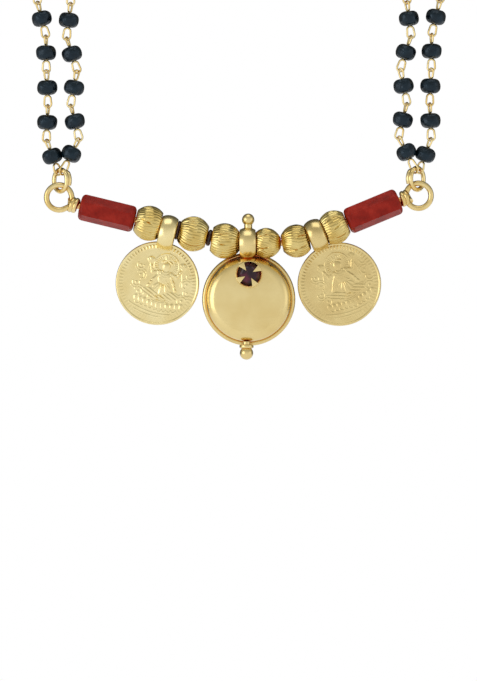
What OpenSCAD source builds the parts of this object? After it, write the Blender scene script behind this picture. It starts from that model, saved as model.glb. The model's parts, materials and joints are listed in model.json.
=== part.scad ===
// Bridal bead necklace with a red coral bar, two coin drops and a gold cup pendant.
// Millimetres, +Z up, wearer's front toward -Y. Origin: underside of the clasp at the nape,
// where the necklace hangs. The bar is drawn from the middle of its flat run, then lowered.

/* [Bar wire] */
// Thickness of the wire that carries beads and pendants
wire_d = 0.9; // [0.8:0.02:0.96]
// Rise of the wire left of the cup, degrees
rise_left = 13.6; // [12.5:0.1:14.5]
// Rise of the wire right of the cup, degrees
rise_right = 22.5; // [21.5:0.1:23.5]
// Thickness of the wire of the end loops
loop_wire_d = 0.84; // [0.74:0.02:0.86]
// Radius of an end loop, middle of the wire
loop_r = 1.88; // [1.84:0.01:1.92]

/* [Jump rings] */
// Radius of a jump ring, middle of the wire
ring_r = 1.64; // [1.62:0.01:1.66]
// Thickness of the wire of jump rings and end rings
ring_wire_d = 0.68; // [0.6:0.02:0.7]

/* [Coral tubes] */
// Width of a coral tube across its corners
coral_d = 4.0; // [3.6:0.1:4.2]
// Length of a coral tube
coral_len = 8.5; // [8:0.02:8.5]

/* [Gold beads] */
// Number of ribs round a gold bead
ribs = 32; // [18:1:36]
// Depth of the grooves as a share of the bead's radius
rib_depth = 0.035; // [0.02:0.005:0.06]

/* [Cup pendant] */
// Radius of the cup out to its flange
cup_r = 7.01; // [6.9:0.01:7.05]
// Radius of the cup's upright wall
dome_r = 6.38; // [6.2:0.02:6.4]
// Sheet thickness of the cup
cup_wall = 0.55; // [0.45:0.05:0.6]
// Width of the cup's bail along the wire
cup_bail_w = 2.4; // [2.2:0.05:2.4]
// Girdle diameter of the red stone
stone_d = 3.6; // [3.4:0.05:3.6]

/* [Coin drops] */
// Radius of a coin
coin_r = 6.28; // [6.1:0.02:6.3]
// Thickness of a coin without its relief
coin_t = 0.8; // [0.7:0.05:1.0]
// Height of the relief's thin lines
relief_h = 0.12; // [0.1:0.01:0.18]
// Distance from the wire down to the left coin's middle; the right one hangs a little higher
coin_drop = 8.43; // [8.42:0.01:8.5]

/* [Chains] */
// Width of a black glass bead
bead_d = 2.9; // [2.7:0.02:2.92]
// Length of a black glass bead along its pin
bead_l = 2.3; // [2.1:0.05:2.3]
// Wire thickness of an eye
eye_wire = 0.3; // [0.26:0.01:0.31]

/* [Hidden] */
$fn = 48;
bend_r = 10;
// Straight wires are a hair slimmer than the bends they run into
slim = 0.02;
nip = 0.12;
bail_x = 1.3;
flat_left = 1.29;
flat_right = 5.33;
wrap_left = -26.8;
wrap_right = 24.92;
loop_at = [26.95, 6.84];
ring_at = [26.75, 9.38];
ring_yaw = 52;
ring_spread = 25;
side_lift = 0.255;
coin_left_s = -12.1;
coin_right_s = 10.5;
coin_bail_w = 2.4;
// The discs are soldered to the backs of their bails, clear of the beads
coin_back = 1.7;
pitch = 5.22;
eye_r = 0.525;
eye_off = 2.285;
wide_eye_r = 0.65;
tube_r = 1.3;
front_units = 27;

// Headings of the outer and inner strand, unit by unit, degrees in from straight up
outer_lean = 3.5;
outer_turn = 12.4;
inner_lean = 4.5018;
inner_turn = 15.1164;
outer_hold = 2.35;
inner_hold = 2.8;
outer_run = concat([-20, 2.5, -2.6, -0.8, -14], [for (i = [1:24]) -outer_lean],
    [for (i = [1:7]) outer_turn * i - outer_lean], [108]);
inner_run = concat([26, -14, 11, -18, 7], [for (i = [1:24]) -inner_lean],
    [for (i = [1:6]) inner_turn * i - inner_lean], [72]);

function heading(h, k = 0) = [sin(h) * cos(k), -sin(k), cos(h) * cos(k)];
// Point on the left jump ring, phi degrees from its top toward the viewer
function on_ring(phi) = [-ring_at[0] + ring_r * sin(phi) * cos(ring_yaw),
    -ring_r * sin(phi) * sin(ring_yaw), ring_at[1] + ring_r * cos(phi)];
function first_tilt(phi, hold) = asin(on_ring(phi)[1] / (hold + pitch / 2));
function walk(p, run, i = 1) = i >= len(run) ? [p]
    : concat([p], walk(p + pitch * heading(run[i]), run, i + 1));
// Joints between units: entry i is where unit i ends and unit i + 1 begins
function joints(phi, hold, run) = walk(on_ring(phi)
    + (hold + pitch / 2) * heading(run[0], first_tilt(phi, hold)), run);

outer_joints = joints(-ring_spread, outer_hold, outer_run);
inner_joints = joints(ring_spread, inner_hold, inner_run);
nape_end = outer_joints[len(outer_joints) - 1];
end_x = -nape_end[0] - ring_r * cos(ring_spread);
end_z = nape_end[2] - ring_r * sin(ring_spread);
clasp_r = 1.7;
clasp_loop_x = end_x - ring_r;
hang_z = end_z - clasp_r;

// Wire position at length s from the cup's bail: x, z and slope
function wire_at(s) = let (m = s < 0 ? -1 : 1, a = s < 0 ? rise_left : rise_right,
        f = s < 0 ? flat_left : flat_right, u = abs(s) - f, e = bend_r * a * PI / 180,
        b = min(max(u, 0) / bend_r * 180 / PI, a), t = max(u - e, 0))
    [bail_x + m * (min(abs(s), f) + bend_r * sin(b) + t * cos(a)),
        bend_r * (1 - cos(b)) + t * sin(a), m * b];

module hung() translate([0, 0, -hang_z]) children();
module right_side() hung() translate([0, 0, side_lift]) mirror([1, 0, 0]) children();

// Local X runs along the wire
module on_wire(s) {
    p = wire_at(s);
    translate([p[0], 0, p[1]]) rotate([0, -p[2], 0]) children();
}

// A straight bored piece takes the chord of the wire between its two ends
module strung(s, l) {
    p = wire_at(s - l / 2);
    q = wire_at(s + l / 2);
    m = wire_at(s);
    translate([(p[0] + q[0]) / 4 + m[0] / 2, 0, (p[1] + q[1]) / 4 + m[1] / 2])
        rotate([0, -atan2(q[1] - p[1], q[0] - p[0]), 0]) children();
}

// Ring of wire standing in the XZ plane, or an arc of it from angle a0
module ring(r, d) rotate([90, 0, 0]) rotate_extrude() translate([r, 0]) circle(d = d);
module arc(r, d, a0, sweep) rotate([90, 0, 0]) rotate([0, 0, a0])
    rotate_extrude(angle = sweep) translate([r, 0]) circle(d = d);
module rod(p, q, d) translate([p[0], 0, p[1]])
    rotate([0, atan2(q[0] - p[0], q[1] - p[1]), 0]) cylinder(h = norm(q - p), d = d);
module along_x(l, d, d2 = 0) translate([-l / 2, 0, 0]) rotate([0, 90, 0])
    cylinder(h = l, d1 = d, d2 = d2 > 0 ? d2 : d);

// Closed surface through rings of points
module skin(rings) {
    n = len(rings[0]);
    m = len(rings);
    polyhedron([for (r = rings) each r], concat(
        [[for (j = [n - 1:-1:0]) j]],
        [for (i = [0:m - 2], j = [0:n - 1]) [i * n + j, i * n + (j + 1) % n, (i + 1) * n + j]],
        [for (i = [0:m - 2], j = [0:n - 1])
            [i * n + (j + 1) % n, (i + 1) * n + (j + 1) % n, (i + 1) * n + j]],
        [[for (j = [0:n - 1]) (m - 1) * n + j]]));
}

// One half of the bar's wire with its wrapped end loop
module wire_half(m, a, f, wrap_s, lift) {
    e = f + bend_r * a * PI / 180;
    translate([bail_x + m * f, 0, bend_r]) arc(bend_r, wire_d, m > 0 ? -90 : -90 - a, a);
    on_wire(m * e) rotate([0, m * 90, 0]) translate([0, 0, -nip])
        cylinder(h = abs(wrap_s) - e + nip + 0.3, d = wire_d - slim);
    on_wire(wrap_s) {
        along_x(1.3, 1.7);
        for (t = [-0.38, 0.38]) translate([t, 0, 0]) rotate([0, 0, 90]) ring(0.8, 0.8);
    }
    w = wire_at(wrap_s);
    s = [w[0], w[1]];
    c = [m * loop_at[0], loop_at[1] + lift];
    q = acos(loop_r / norm(s - c));
    g = atan2(s[1] - c[1], s[0] - c[0]);
    translate([c[0], 0, c[1]]) arc(loop_r, loop_wire_d, g + q, 360 - 2 * q);
    for (k = [-1, 1]) let (n = [cos(g + k * q), sin(g + k * q)], v = k * [n[1], -n[0]])
        rod(c + loop_r * n - nip * v, c + loop_r * n + (norm(s - c) * sin(q) + 0.3) * v,
            loop_wire_d - slim);
}

module front_wire() color("goldenrod") hung() {
    translate([bail_x - flat_left - nip, 0, 0]) rotate([0, 90, 0])
        cylinder(h = flat_left + flat_right + 2 * nip, d = wire_d - slim);
    wire_half(-1, rise_left, flat_left, wrap_left, 0);
    wire_half(1, rise_right, flat_right, wrap_right, side_lift);
}

// Coiled ring: its second turn lies against the first on the outer side
module jump_ring() translate([-ring_at[0], 0, ring_at[1]]) rotate([0, 0, -ring_yaw]) {
    ring(ring_r, ring_wire_d);
    translate([0, 0.5, 0]) arc(ring_r, ring_wire_d, -25, 66);
}
module jump_ring_left() color("gold") hung() jump_ring();
module jump_ring_right() color("gold") right_side() jump_ring();

// Six-sided tube with a corner turned to the viewer, its ends ground round
module coral_tube() difference() {
    intersection() {
        rotate([0, 90, 0]) rotate([0, 0, 98]) cylinder(h = coral_len, d = coral_d, $fn = 6, center = true);
        rotate([0, 90, 0]) rotate_extrude() difference() {
            translate([0, -coral_len / 2]) square([coral_d / 2 + 0.1, coral_len]);
            for (m = [-1, 1]) translate([coral_d / 2, m * coral_len / 2]) rotate([0, 0, 45])
                square([0.62, 0.62], center = true);
        }
    }
    along_x(coral_len + 1, 1.25);
}
module coral_tube_left() color("darkred") hung() strung(-21.55, coral_len) coral_tube();
module coral_tube_right() color("darkred") hung() strung(19.75, coral_len) coral_tube();

// Round bead with lengthwise ribs, cut off flat at its ends and bored for the wire. It is widest
// at c from the middle of its length.
module ribbed_bead(s, l, d, c) hung() strung(s, l) color("gold") difference() {
    skin([for (i = [-4:4]) let (x = i * l / 8, r = d / 2 * pow(1 - pow((x - c) / (0.525 * d), 2), 0.6))
        [for (j = [0:2 * ribs - 1]) let (a = j * 180 / ribs, q = r * (1 - (j % 2) * rib_depth))
            [x, q * cos(a), q * sin(a)]]]);
    along_x(l + 1, 1.5);
}
module ribbed_bead_1() ribbed_bead(-15.295, 3.79, 5.28, 0.22);
module ribbed_bead_2() ribbed_bead(-8.315, 4.21, 5.28, 0.03);
module ribbed_bead_3() ribbed_bead(-3.24, 4.38, 5.34, -0.25);
module ribbed_bead_4() ribbed_bead(2.96, 3.94, 4.56, -0.17);
module ribbed_bead_5() ribbed_bead(7.28, 4.08, 5.0, 0.1);
module ribbed_bead_6() ribbed_bead(13.37, 4.04, 5.1, 0.08);

// Dark discs strung between gold pieces
module spacer(s, l, d) color("black") hung() strung(s, l) rotate([0, 90, 0]) rotate_extrude()
    polygon([[0.62, -l / 2], [d / 2 - 0.3 * l, -l / 2], [d / 2, -0.2 * l], [d / 2, 0.2 * l],
        [d / 2 - 0.3 * l, l / 2], [0.62, l / 2]]);
module spacer_disc() spacer(-10.66, 0.28, 2.9);
module spacer_bead() spacer(-5.82, 0.56, 2.5);

// Band bail round the wire, its outside slightly bowed
module bail(w, r, bore) rotate([0, 90, 0]) rotate_extrude() intersection() {
    translate([bore, -w / 2]) square([r, w]);
    translate([r - 4.1, 0]) circle(4.1);
}

// Cup: closed shallow dome with a soft shoulder toward the viewer, a flange behind it
cup_front = 1.3;
cup_at = [0.19, -8.4];
stone_at = [0.22, -4.7];
flange = [1.65, 2.1];
shoulder = 0.9;
function dome_line(t) = let (r = dome_r - t, h = cup_front - t,
        c = [r - shoulder + t, h - 0.25 - shoulder + t])
    concat([[r, -flange[1]]],
        [for (i = [0:9]) c + (shoulder - t) * [cos(i * 10), sin(i * 10)]],
        [for (i = [4:-1:0]) let (x = c[0] * i / 5) [x, h - 0.25 * pow(i / 5, 2)]]);
module cup_shell() rotate([90, 0, 0]) rotate_extrude($fn = 96) {
    difference() {
        polygon(concat(dome_line(0), [[0, -flange[1]]]));
        polygon(concat(dome_line(cup_wall), [[0, -flange[1] - 1], [dome_r - cup_wall, -flange[1] - 1]]));
    }
    translate([dome_r - cup_wall / 2, -flange[1]])
        square([cup_r - dome_r, flange[1] - flange[0]]);
    translate([cup_r - 0.225, -(flange[0] + flange[1]) / 2]) circle(d = flange[1] - flange[0]);
}
module prong() rotate([90, 0, 0]) translate([0, 0, 2.14]) linear_extrude(0.28)
    polygon([[0.65, 0], [1.95, 0.6], [1.95, -0.6]]);
module cup_pendant() color("gold") hung() translate([bail_x, 0, 0]) {
    difference() {
        union() {
            translate([cup_at[0], 0, cup_at[1]]) cup_shell();
            bail(cup_bail_w, 2.33, 1.9);
            translate([0.1, 0, 2.1]) cylinder(h = 0.8, d = 1.2);
            translate([0.1, 0, 3.5]) sphere(d = 1.86);
            translate([-0.15, 0, -15.5]) cylinder(h = 1, d = 1.5);
            translate([-0.15, 0, -15.8]) cylinder(h = 0.6, d = 2.1);
            translate([-0.15, 0, -16.5]) sphere(d = 2);
            translate([stone_at[0], -0.9, stone_at[1]]) rotate([90, 0, 0])
                cylinder(h = 1.42, d = stone_d + 0.42);
        }
        along_x(cup_bail_w + 1, 3.8);
        translate([stone_at[0], -1.15, stone_at[1]]) rotate([90, 0, 0])
            cylinder(h = 2, d = stone_d + 0.14);
        translate([stone_at[0], 1, stone_at[1]]) rotate([90, 0, 0]) cylinder(h = 3, d = 2.9);
    }
    translate([stone_at[0], 0, stone_at[1]]) for (a = [60, 150, 232, 330]) rotate([0, a, 0]) prong();
}

// Brilliant-cut stone: culet, girdle, crown and table
module cup_stone() color("maroon") hung() translate([bail_x + stone_at[0], 0, stone_at[1]])
    rotate([90, 0, 0]) skin([for (z = [[0.75, 0.1, 1], [1.5, 1, 1], [1.62, 1, 1], [1.86, 0.84, 0.9],
            [2.08, 0.6, 0.94]])
        [for (j = [0:15]) let (a = j * 22.5, r = stone_d / 2 * z[1] * (j % 2 == 0 ? 1 : z[2]))
            [r * cos(a), r * sin(a), z[0]]]]);

// Low relief: seated crowned figure holding lotuses, on a petal seat
module pad(x, z, w, h = 0.2) translate([x, 0.2, z]) rotate([90, 0, 0])
    cylinder(h = h + 0.2, r1 = w / 2 + 0.2, r2 = w / 2 - 0.12);
module bump(x, z, d, up = 0) translate([x, -up, z]) sphere(d = d);
module limb(x, z, x2, z2, d, up = 0) translate([0, -up, 0]) rod([x, z], [x2, z2], d);
module line(x, z, r, a0, a1, d = 0.3) translate([x, 0, z]) arc(r, d, a0, a1 - a0);
module figure() {
    pad(0.68, 2.3, 1.0, 0.16);
    bump(0.68, 2.28, 0.7, 0.06);
    for (k = [-1:1]) bump(0.7 + k * 0.45, 3.05 - abs(k) * 0.17, 0.36 + k * 0.02);
    bump(0.72, 3.5, 0.34);
    bump(0.76, 3.86, 0.22);
    line(0.66, 2.45, 1.3, -10, 190, 0.2);
    pad(0.62, 0.8, 1.7, 0.14);
    bump(0.22, 1.2, 0.66);
    bump(1.05, 1.18, 0.62);
    bump(0.65, 0.3, 0.8);
    for (k = [-1, 1]) translate([0.62, 0, 0]) {
        limb(k * 0.7, 1.45, k * 1.9, 1.35, 0.42 + k * 0.02);
        limb(k * 1.9, 1.35, k * 2.2, 2.5, 0.38, 0.02);
        bump(k * 1.92, 1.34, 0.5);
        limb(k * 0.85, 0.95, k * 1.5, 0.1, 0.37);
        limb(k * 1.5, 0.1, k * 1.75, -0.6, 0.33);
        bump(k * 1.52, 0.08, 0.44);
        pad(k * 2.15, -1.0, 1.35, 0.2 + k * 0.01);
        limb(k * 2.1, -1.25, k * -0.35, -1.75 - k * 0.06, 0.5 + k * 0.04);
        bump(k * 2.26, 2.78, 0.44, 0.02);
        line(k * 2.26, 2.98, 0.45, 200, 340, 0.2);
        line(k * 3.2, 0.1, 1.0, 90 - k * 30 - 70, 90 - k * 30 + 70, 0.24);
        line(k * 3.5, -2.1, 0.75, 190 + k * 60 - 80, 190 + k * 60 + 80, 0.22);
    }
    pad(0.62, -0.55, 2.6, 0.13);
    for (i = [0:2]) line(0.62, 1.9, 2.05 + i * 0.3, 254, 286, 0.16);
    for (i = [-3:3]) {
        bump(0.62 + i * 0.8, -2.92 + abs(i) * 0.14, 0.3);
        line(0.62 + i * 0.8, -2.92 + abs(i) * 0.14, 0.28, 10, 170, 0.16);
    }
    line(0.6, 1.4, 5.1, 240, 300, 0.2);
}
module coin(off, drop, low, r, bore) difference() {
    union() {
        translate([off, coin_back, -drop]) {
            rotate([90, 0, 0]) cylinder(h = coin_t, r = coin_r, center = true, $fn = 96);
            translate([0, -coin_t / 2, 0]) rotate([90, 0, 0]) rotate_extrude($fn = 96)
                translate([coin_r - 0.34, -0.2]) square([0.3, 0.2 + relief_h]);
            for (i = [0:71]) rotate([0, i * 5, 0])
                translate([coin_r * 0.83, -coin_t / 2 - relief_h, -0.09]) cube([0.6, 0.3, 0.18]);
            translate([0, -coin_t / 2, 0]) figure();
        }
        translate([0, 0, -low]) bail(coin_bail_w, r, bore);
        translate([0, 1.45, 0.52 - low - r]) along_x(coin_bail_w - 0.5, 1);
    }
    translate([0, 0, -low]) along_x(coin_bail_w + 1, 2 * bore);
}
module coin_left() color("khaki") hung() on_wire(coin_left_s) coin(0.29, coin_drop, 0.71, 2.64, 1.9);
module coin_right() color("khaki") hung() on_wire(coin_right_s)
    coin(0.42, coin_drop - 0.27, 0.05, 2.45, 2.05);

// Places children on the units of a strand from first to last
module each_unit(phi, hold, run, at, first, last) {
    k = first_tilt(phi, hold);
    for (i = [first:last])
        translate(at[i] - pitch / 2 * heading(run[i], i == 0 ? k : 0))
            rotate([i == 0 ? k : 0, run[i], 0]) {
                $reach = i == 0 ? hold : 0;
                $last = i == len(run) - 1;
                children();
            }
}
module outer_units(first = 0, last = front_units - 1)
    each_unit(-ring_spread, outer_hold, outer_run, outer_joints, first, last) children();
module inner_units(first = 0, last = front_units - 1)
    each_unit(ring_spread, inner_hold, inner_run, inner_joints, first, last) children();

// The last unit of each strand, hooked on its end ring
module nape_units() {
    m = len(outer_run) - 1;
    n = len(inner_run) - 1;
    hung() {
        outer_units(m, m) children();
        inner_units(n, n) children();
    }
    right_side() {
        outer_units(m, m) children();
        inner_units(n, n) children();
    }
}

module glass_bead() rotate_extrude($fn = 32) intersection() {
    translate([bead_d / 2 - bead_l / 2, 0]) circle(d = bead_l);
    translate([0.3, -2]) square([2, 4]);
}

// Wire link through a bead: lower eye flat to the viewer, upper eye on edge
module link() {
    low = $reach > 0 ? $reach - wide_eye_r : eye_off - eye_r;
    high = $last ? pitch / 2 - wide_eye_r : eye_off - eye_r;
    translate([0, 0, -low]) cylinder(h = low + high, d = eye_wire - 0.03, $fn = 16);
    if ($reach > 0)
        translate([0, 0, -$reach]) rotate([0, 0, -ring_yaw - 90]) ring(wide_eye_r, eye_wire, $fn = 24);
    else translate([0, 0, -eye_off]) ring(eye_r, eye_wire, $fn = 24);
    translate([0, 0, $last ? pitch / 2 : eye_off]) rotate([0, 0, 90])
        ring($last ? wide_eye_r : eye_r, eye_wire, $fn = 24);
}

module beads_outer_left() color("black") hung() outer_units() glass_bead();
module beads_inner_left() color("black") hung() inner_units() glass_bead();
module beads_outer_right() color("black") right_side() outer_units() glass_bead();
module beads_inner_right() color("black") right_side() inner_units() glass_bead();
module links_outer_left() color("gold") hung() outer_units() link();
module links_inner_left() color("gold") hung() inner_units() link();
module links_outer_right() color("gold") right_side() outer_units() link();
module links_inner_right() color("gold") right_side() inner_units() link();
module nape_beads() color("black") nape_units() glass_bead();
module nape_links() color("gold") nape_units() link();

// Back stretch of a strand as one smooth run
module back_run(run, at) {
    n = len(run);
    path = concat([at[front_units - 1] + 0.7 * heading(run[front_units])],
        [for (i = [front_units:n - 3]) at[i]], [at[n - 2] - 0.7 * heading(run[n - 2])]);
    skin([for (i = [0:len(path) - 1]) let (
            h = (run[min(front_units + i, n - 2)] + run[max(front_units + i - 1, front_units)]) / 2)
        [for (j = [0:9]) let (a = j * 36)
            path[i] + tube_r * [cos(a) * cos(h), sin(a), -cos(a) * sin(h)]]]);
}
module back_outer_left() color("dimgray") hung() back_run(outer_run, outer_joints);
module back_inner_left() color("dimgray") hung() back_run(inner_run, inner_joints);
module back_outer_right() color("dimgray") right_side() back_run(outer_run, outer_joints);
module back_inner_right() color("dimgray") right_side() back_run(inner_run, inner_joints);

module end_ring() translate([-end_x, 0, end_z]) ring(ring_r, ring_wire_d);
module end_ring_left() color("gold") hung() end_ring();
module end_ring_right() color("gold") right_side() end_ring();

// Barrel clasp between the end rings
module clasp() color("goldenrod") hung() translate([0, 0, end_z]) {
    for (m = [-1, 1]) translate([m * clasp_loop_x, 0, m > 0 ? side_lift : 0])
        rotate([90, 0, 0]) ring(0.95, 0.6);
    along_x(2 * clasp_loop_x - 1.8, 2 * clasp_r);
}

front_wire();
jump_ring_left();
jump_ring_right();
coral_tube_left();
coral_tube_right();
ribbed_bead_1();
ribbed_bead_2();
ribbed_bead_3();
ribbed_bead_4();
ribbed_bead_5();
ribbed_bead_6();
spacer_disc();
spacer_bead();
cup_pendant();
cup_stone();
coin_left();
coin_right();
beads_outer_left();
beads_inner_left();
beads_outer_right();
beads_inner_right();
links_outer_left();
links_inner_left();
links_outer_right();
links_inner_right();
nape_beads();
nape_links();
back_outer_left();
back_inner_left();
back_outer_right();
back_inner_right();
end_ring_left();
end_ring_right();
clasp();
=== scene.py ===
import json
from math import asin, atan2, cos, degrees, hypot, pi, radians, sin, sqrt
import bmesh
import bpy
from mathutils import Matrix, Vector, noise


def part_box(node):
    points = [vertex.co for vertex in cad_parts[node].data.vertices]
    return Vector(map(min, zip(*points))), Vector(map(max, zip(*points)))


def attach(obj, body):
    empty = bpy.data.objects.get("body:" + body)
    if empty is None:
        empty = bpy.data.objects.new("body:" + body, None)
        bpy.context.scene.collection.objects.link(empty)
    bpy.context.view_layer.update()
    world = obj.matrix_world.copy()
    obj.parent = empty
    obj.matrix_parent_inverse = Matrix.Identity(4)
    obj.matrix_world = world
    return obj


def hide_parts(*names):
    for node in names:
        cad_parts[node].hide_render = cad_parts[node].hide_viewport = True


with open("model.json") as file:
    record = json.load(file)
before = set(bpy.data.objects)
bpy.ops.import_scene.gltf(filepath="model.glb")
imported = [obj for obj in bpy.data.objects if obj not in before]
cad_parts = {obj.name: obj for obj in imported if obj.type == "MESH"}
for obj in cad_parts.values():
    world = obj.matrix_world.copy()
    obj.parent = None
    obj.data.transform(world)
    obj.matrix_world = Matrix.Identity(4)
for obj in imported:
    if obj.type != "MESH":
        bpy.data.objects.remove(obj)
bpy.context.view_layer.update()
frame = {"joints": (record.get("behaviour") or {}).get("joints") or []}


# Bar wire
# One length of gold-plated brass wire carries the beads. Each end is bent to an eye with round pliers,
# and its tail is wound twice round the wire beside the coral.

# Sizes are in millimetres, measured from the bar's flat run under the cup's bail; metres come last
mm = 0.001
bar_height = next(j["pos_m"][2] for j in frame["joints"] if j["name"] == "cup_swing")
across, back, up = Vector((1, 0, 0)), Vector((0, 1, 0)), Vector((0, 0, 1))
bail_x = 1.3
wire_d = 0.9
bar_start, bar_len = -26.9, 52
# Left (-1) and right (1) of the bail: the flat run before the wire bends, and the degrees that it rises at
flat_run = {-1: 1.29, 1: 5.33}
rise = {-1: 13.6, 1: 22.5}
bend_r = 10
eye_centre = {-1: Vector((-26.95, 0, 6.84)), 1: Vector((26.95, 0, 7.095))}
eye_r = 1.88
eye_wire_d = 0.84
# The tail wound round the wire: its place along the wire, radius, wire, turns, the degrees that it starts
# at, length and points to a turn
coil_at = {-1: -26.8, 1: 24.92}
coil_r = 0.8
coil_wire_d = 0.8
coil_turns = 2.2
coil_start = 200
coil_len = 1.24
coil_steps = 28
# The plating: size and depth of its grain, drawn coarser than the real one so that it shows, and the
# redder tone painted into its hollows as painted shade
grain = 0.12
grain_depth = 0.004
hollow_shade_tone = "#dc7a2c"


def wire_at(s):
    """Point and slope of the bar at length s from the cup's bail: flat, a bend, then a straight rise."""
    side = -1 if s < 0 else 1
    bent = min(max(abs(s) - flat_run[side], 0) / bend_r, radians(rise[side]))
    straight = max(abs(s) - flat_run[side] - bend_r * radians(rise[side]), 0)
    x = min(abs(s), flat_run[side]) + bend_r * sin(bent) + straight * cos(bent)
    z = bend_r * (1 - cos(bent)) + straight * sin(bent)
    return Vector((bail_x + side * x, 0, z)), side * bent


def on_bar(s):
    """Place on the bar whose X axis runs along the wire."""
    point, slope = wire_at(s)
    return Matrix.Translation(point) @ Matrix.Rotation(-slope, 4, "Y")


def arc(centre, across, up, radius, start, sweep, steps):
    """Points on an arc in the plane of two directions, angles in degrees."""
    turns = [radians(start + sweep * i / steps) for i in range(steps + 1)]
    return [centre + radius * (cos(t) * across + sin(t) * up) for t in turns]


def extruded(bm, ring):
    """Extrudes a ring of edges; gives the new verts and the new ring."""
    out = bmesh.ops.extrude_edge_only(bm, edges=ring)["geom"]
    verts = [g for g in out if isinstance(g, bmesh.types.BMVert)]
    edges = [g for g in out if isinstance(g, bmesh.types.BMEdge) and all(v in verts for v in g.verts)]
    return verts, edges


def drawn_wire(route, d, sides=14, closed=False):
    """Round wire along a route: a ring of its section is extruded from point to point."""
    count = len(route)
    if closed:
        ahead = [(route[(i + 1) % count] - route[i - 1]).normalized() for i in range(count)]
    else:
        ahead = [(route[min(i + 1, count - 1)] - route[max(i - 1, 0)]).normalized() for i in range(count)]
    facing = up.rotation_difference(ahead[0])
    place = Matrix.LocRotScale(route[0], facing, None)
    bm = bmesh.new()
    bmesh.ops.create_circle(bm, segments=sides, radius=d / 2, matrix=place)
    first = ring = bm.edges[:]
    for i in range(1, count):
        facing = ahead[i - 1].rotation_difference(ahead[i]) @ facing
        following = Matrix.LocRotScale(route[i], facing, None)
        verts, ring = extruded(bm, ring)
        bmesh.ops.transform(bm, matrix=following @ place.inverted(), verts=verts)
        place = following
    if closed:
        bmesh.ops.bridge_loops(bm, edges=first + ring)
    else:
        for loop in (first, ring):
            bmesh.ops.edgeloop_fill(bm, edges=loop)
    return to_mesh(bm)


def to_mesh(bm):
    """Closes a bmesh into a mesh whose faces point outwards."""
    bmesh.ops.recalc_face_normals(bm, faces=bm.faces)
    mesh = bpy.data.meshes.new("part")
    bm.to_mesh(mesh)
    bm.free()
    return mesh


def join(parts):
    """Joins (mesh, place) pairs into one mesh."""
    bm = bmesh.new()
    for mesh, place in parts:
        set_down = mesh.copy()
        set_down.transform(place)
        if place.determinant() < 0:
            set_down.flip_normals()
        bm.from_mesh(set_down)
        bpy.data.meshes.remove(set_down)
    joined = bpy.data.meshes.new("joined")
    bm.to_mesh(joined)
    bm.free()
    return joined


def piece(name, mesh, material, crease=35):
    """Makes the object, in metres and in its place, smooth but for edges sharper than crease degrees."""
    mesh.transform(Matrix.Translation((0, 0, bar_height)) @ Matrix.Scale(mm, 4))
    mesh.shade_smooth()
    mesh.set_sharp_from_angle(angle=radians(crease))
    mesh.materials.append(material)
    thing = bpy.data.objects.new(name, mesh)
    bpy.context.scene.collection.objects.link(thing)
    return thing


def linear(hex_colour):
    """sRGB hex to linear colour."""
    parts = [int(hex_colour[i:i + 2], 16) / 255 for i in (1, 3, 5)]
    return [c / 12.92 if c <= 0.04045 else ((c + 0.055) / 1.055) ** 2.4 for c in parts] + [1]


def connect(tree, node, sockets):
    """Gives each named socket of a node a value or another node's output."""
    for name, value in sockets.items():
        if isinstance(value, bpy.types.NodeSocket):
            tree.links.new(value, node.inputs[name])
        else:
            node.inputs[name].default_value = value


def add(tree, kind, sockets={}, stops=(), **settings):
    """Adds a shader node: what its sockets get, a ramp's (position, hex) stops, and its settings."""
    node = tree.nodes.new("ShaderNode" + kind)
    for name, value in settings.items():
        setattr(node, name, value)
    connect(tree, node, sockets)
    if stops:
        elements = node.color_ramp.elements
        while len(elements) < len(stops):
            elements.new(0.5)
        for element, (position, tone) in zip(elements, stops):
            element.position = position
            element.color = linear(tone)
    return node


def new_material(name):
    """Starts a material: itself, its node tree and its shader."""
    material = bpy.data.materials.new(name)
    material.use_nodes = True
    return material, material.node_tree, material.node_tree.nodes["Principled BSDF"]


def plated_gold(name, light, deep, roughness, cloud=2.5, hollow_shade_reach=(0.7, 0.5)):
    """Gold plating on brass: a metal whose tone drifts where the plating is thicker, over a fine grain. The
    hollows are painted a redder, darker tone through an ambient-occlusion mask: painted shade.

    cloud is the size of the drifts of tone. hollow_shade_reach is how far off a hollow's walls still count,
    and the share of open sky under which the painted shade starts."""
    material, tree, shader = new_material(name)
    where = add(tree, "TexCoord").outputs["Object"]
    drift = add(tree, "TexNoise", {"Vector": where, "Scale": 1 / (cloud * mm), "Detail": 3}).outputs["Fac"]
    fine = add(tree, "TexNoise", {"Vector": where, "Scale": 1 / (grain * mm), "Detail": 2}).outputs["Fac"]
    tone = add(tree, "ValToRGB", {"Fac": drift}, [(0.3, deep), (0.7, light)]).outputs["Color"]
    # Painted shade: where the walls close in, the ambient-occlusion mask mixes in the redder, darker tone
    sky = add(tree, "AmbientOcclusion", {"Distance": hollow_shade_reach[0] * mm}, samples=8).outputs["AO"]
    unshaded = add(tree, "MapRange", {"Value": sky, "From Min": 0.1, "From Max": hollow_shade_reach[1]}).outputs["Result"]
    hollow_shaded_tone = add(tree, "Mix", {"Factor": unshaded, "A": linear(hollow_shade_tone), "B": tone}, data_type="RGBA")
    spread = add(tree, "MapRange", {"Value": drift, "To Min": roughness * 0.8, "To Max": roughness * 1.2})
    bump = add(tree, "Bump", {"Height": fine, "Distance": grain_depth * mm, "Strength": 1})
    connect(tree, shader, {"Base Color": hollow_shaded_tone.outputs["Result"], "Roughness": spread.outputs["Result"],
                           "Metallic": 1, "Normal": bump.outputs["Normal"]})
    return material


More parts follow.
